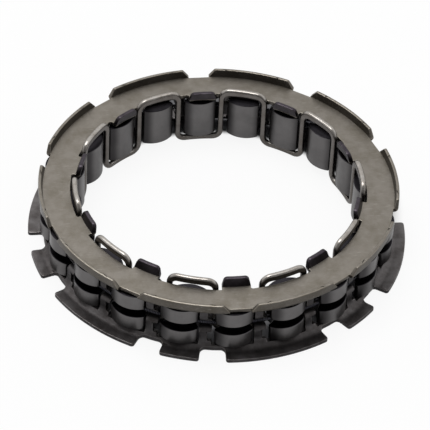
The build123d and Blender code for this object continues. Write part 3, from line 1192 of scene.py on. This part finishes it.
# ---------- studio
@dataclass
class Studio:
    """Pale floor, soft light and the camera.

    Attributes:
        azimuth: Camera's direction round the ring, in degrees.
        elevation: Camera's height above the horizon, in degrees.
        roll: Turn of the camera about its own axis, in degrees.
        distance: Camera to the point that it looks at.
        target_height: Height of that point on the ring axis.
        lens: Focal length, in millimetres.
        shift: Sideways and upward shift of the frame.
        sensor: Width of the camera's sensor, in millimetres.
        clip: Nearest and farthest distance that the camera sees.
        floor_radius: Radius of the floor.
        floor_colour: Colour of the floor, as sRGB hex.
        floor_glow: Share of plain white in the floor that the camera sees.
        floor_gleam: Share of plain white in the floor that metal reflects.
        shade: Width of the soft border of the ring's painted shade on the floor.
        root: Radius from which the floor is open to view between the petals.
        painted_shade_colour: Colour painted on the floor in that shade, as sRGB hex.
        throw: How far the painted shade reaches away from the camera.
        sky: Strength of the light that the surround sheds on matt surfaces.
        card: Strength of the dim card behind the camera, as metal sees it.
        card_elevation: Height of the card's middle above the horizon, in degrees.
        card_edges: Where the card starts to dim and is dimmest, in degrees from its middle.
        softbox_place: Where the softbox hangs.
        softbox_size: Length of its side.
        softbox_power: Its power in watts.
    """

    azimuth: float = -8.8
    elevation: float = 41.66
    roll: float = 3.0
    distance: float = 536.4 * MM
    target_height: float = 5.39 * MM
    lens: float = 244.7
    shift: Point = (-0.0065, -0.0151)
    sensor: float = 36.0
    clip: Point = (0.01, 10.0)
    floor_radius: float = 3.0
    floor_colour: str = "F4F4F4"
    floor_glow: float = 0.9
    floor_gleam: float = 0.35
    shade: float = 1.5 * MM
    root: float = 32.0 * MM
    painted_shade_colour: str = "6E6E70"
    throw: float = 8 * MM
    sky: float = 0.6
    card: float = 0.3
    card_elevation: float = 48.0
    card_edges: Point = (62.0, 36.0)
    softbox_place: tuple[float, float, float] = (-0.08, 0.16, 0.62)
    softbox_size: float = 0.35
    softbox_power: float = 1.9

    def towards(self, elevation: float) -> Vector:
        """Direction on the camera's side of the ring.

        Args:
            elevation: Height above the horizon, in degrees.
        """
        around, above = math.radians(self.azimuth), math.radians(elevation)
        level = math.cos(above)
        return Vector((math.sin(around) * level, -math.cos(around) * level, math.sin(above)))

    def camera(self) -> None:
        """Camera at the viewing angle of the studio shot."""
        data = bpy.data.cameras.new("studio_camera")
        obj = added("studio_camera", data)
        around, turn = math.radians(self.azimuth), math.radians(self.roll)
        back = self.towards(self.elevation)
        right = Vector((math.cos(around), math.sin(around), 0))
        up = back.cross(right)
        rolled_right = right * math.cos(turn) + up * math.sin(turn)
        rolled_up = up * math.cos(turn) - right * math.sin(turn)
        matrix = Matrix((rolled_right, rolled_up, back)).transposed().to_4x4()
        matrix.translation = back * self.distance + Vector((0, 0, self.target_height))
        obj.matrix_world = matrix
        data.sensor_width = self.sensor
        data.lens = self.lens
        data.shift_x, data.shift_y = self.shift
        data.clip_start, data.clip_end = self.clip
        bpy.context.scene.camera = obj

    def shown(self, tree: NodeTree, camera: float, metal: float) -> Node:
        """Share of plain white for the rays that show the background, none for the light.

        Args:
            tree: Node tree of the floor's material or of the world.
            camera: Share for camera rays.
            metal: Share for glossy and transmission rays.
        """
        path = add_node(tree, "LightPath").outputs
        share: Node | float = 0.0
        for kind, most in (("Camera", camera), ("Glossy", metal), ("Transmission", metal)):
            part = add_node(tree, "Math", {0: path[f"Is {kind} Ray"], 1: most}, operation="MULTIPLY")
            share = add_node(tree, "Math", {0: part, 1: share}, operation="MAXIMUM")
        return share

    def open_floor(self, tree: NodeTree) -> Node:
        """Mask of the painted shade: one on the open floor, and none under the ring and where its painted
        shadow falls back.

        Args:
            tree: Node tree of the floor's material.
        """
        around = math.radians(self.azimuth)
        back = (-math.sin(around) * self.throw, math.cos(around) * self.throw, 0)
        inner = extent("inner_cage")[0]
        place = add_node(tree, "TexCoord").outputs["Object"]
        moved = add_node(tree, "VectorMath", {0: place, 1: back}, operation="SUBTRACT")
        reaches = [add_node(tree, "VectorMath", {0: spot}, operation="LENGTH") for spot in (place, moved)]
        near, far = inner + self.shade, inner + 2 * self.shade
        start, end = self.root - self.shade, self.root + 2 * self.shade
        sides = []
        for borders in (((far, near), (far, inner)), ((start, self.root), (start, end))):
            parts = [
                add_node(tree, "MapRange", between(reach, border), interpolation_type="SMOOTHSTEP")
                for reach, border in zip(reaches, borders)
            ]
            sides.append(add_node(tree, "Math", dict(enumerate(parts)), operation="MINIMUM"))
        return add_node(tree, "Math", dict(enumerate(sides)), operation="ADD")

    def floor(self) -> None:
        """White paper floor under the flange, which keeps the ring's soft shadow, with a painted shade
        under the ring and behind it.
        """
        bpy.ops.object.select_all(action="DESELECT")
        bpy.ops.mesh.primitive_circle_add(
            vertices=96, radius=self.floor_radius, fill_type="NGON", location=(0, 0, CAD_BOX[0].z)
        )
        obj = named("studio_floor")
        bpy.ops.object.transform_apply(location=True, rotation=True, scale=True)
        material = bpy.data.materials.new("white_paper")
        material.use_nodes = True
        tree = material.node_tree
        tree.nodes.clear()
        # Painted shade: the floor's colour turns to the shade colour under the ring and behind it.
        bare = self.open_floor(tree)
        tones = {"Factor": bare, "A": linear(self.painted_shade_colour), "B": linear(self.floor_colour)}
        paper = add_node(tree, "BsdfDiffuse", {"Color": add_node(tree, "Mix", tones, data_type="RGBA")})
        white = add_node(tree, "Emission", {"Color": WHITE, "Strength": 1.0})
        shares = {0: self.shown(tree, self.floor_glow, self.floor_gleam), 1: bare}
        share = add_node(tree, "Math", shares, operation="MULTIPLY")
        mixed = add_node(tree, "MixShader", {"Fac": share, 1: paper, 2: white})
        add_node(tree, "OutputMaterial", {"Surface": mixed})
        obj.data.materials.append(material)

    def world(self) -> None:
        """Soft white surround with a dim card over the camera, which metal reflects."""
        world = bpy.data.worlds.new("studio_surround")
        bpy.context.scene.world = world
        world.use_nodes = True
        tree = world.node_tree
        tree.nodes.clear()
        direction = add_node(tree, "TexCoord").outputs["Generated"]
        ends = {0: direction, 1: self.towards(self.card_elevation)}
        facing = add_node(tree, "VectorMath", ends, operation="DOT_PRODUCT")
        edges = tuple(math.cos(math.radians(angle)) for angle in self.card_edges)
        dimming = between(facing, edges, (1.0, self.card))
        card = add_node(tree, "MapRange", dimming, interpolation_type="SMOOTHSTEP")
        camera = add_node(tree, "LightPath").outputs["Is Camera Ray"]
        seen = add_node(tree, "Math", {0: card, 1: camera}, operation="MAXIMUM")
        lights = {"Factor": self.shown(tree, 1.0, 1.0), "A": self.sky, "B": seen}
        strength = add_node(tree, "Mix", lights, data_type="FLOAT")
        background = add_node(tree, "Background", {"Color": WHITE, "Strength": strength})
        add_node(tree, "OutputWorld", {"Surface": background})

    def softbox(self) -> None:
        """Square soft lamp over the ring."""
        data = bpy.data.lights.new("overhead_softbox", "AREA")
        data.size = self.softbox_size
        data.energy = self.softbox_power
        obj = added("overhead_softbox", data)
        obj.location = self.softbox_place
        obj.rotation_euler = (-Vector(self.softbox_place)).to_track_quat("-Z", "Y").to_euler()

    def build(self) -> None:
        """Floor, surround, lamp and camera."""
        bpy.context.scene.view_settings.view_transform = "Standard"
        self.floor()
        self.world()
        self.softbox()
        self.camera()
        log.info("studio: camera at azimuth %.1f, elevation %.1f", self.azimuth, self.elevation)


def main() -> None:
    """Builds the clutch's pieces and the studio in order."""
    logging.basicConfig(level=logging.INFO, format="%(name)s: %(message)s")
    OuterCage().build()
    SidePlate().build()
    InnerCage().build()
    GarterSpring().build()
    SpragSet().build()
    Studio().build()


if __name__ == "__main__":
    main()
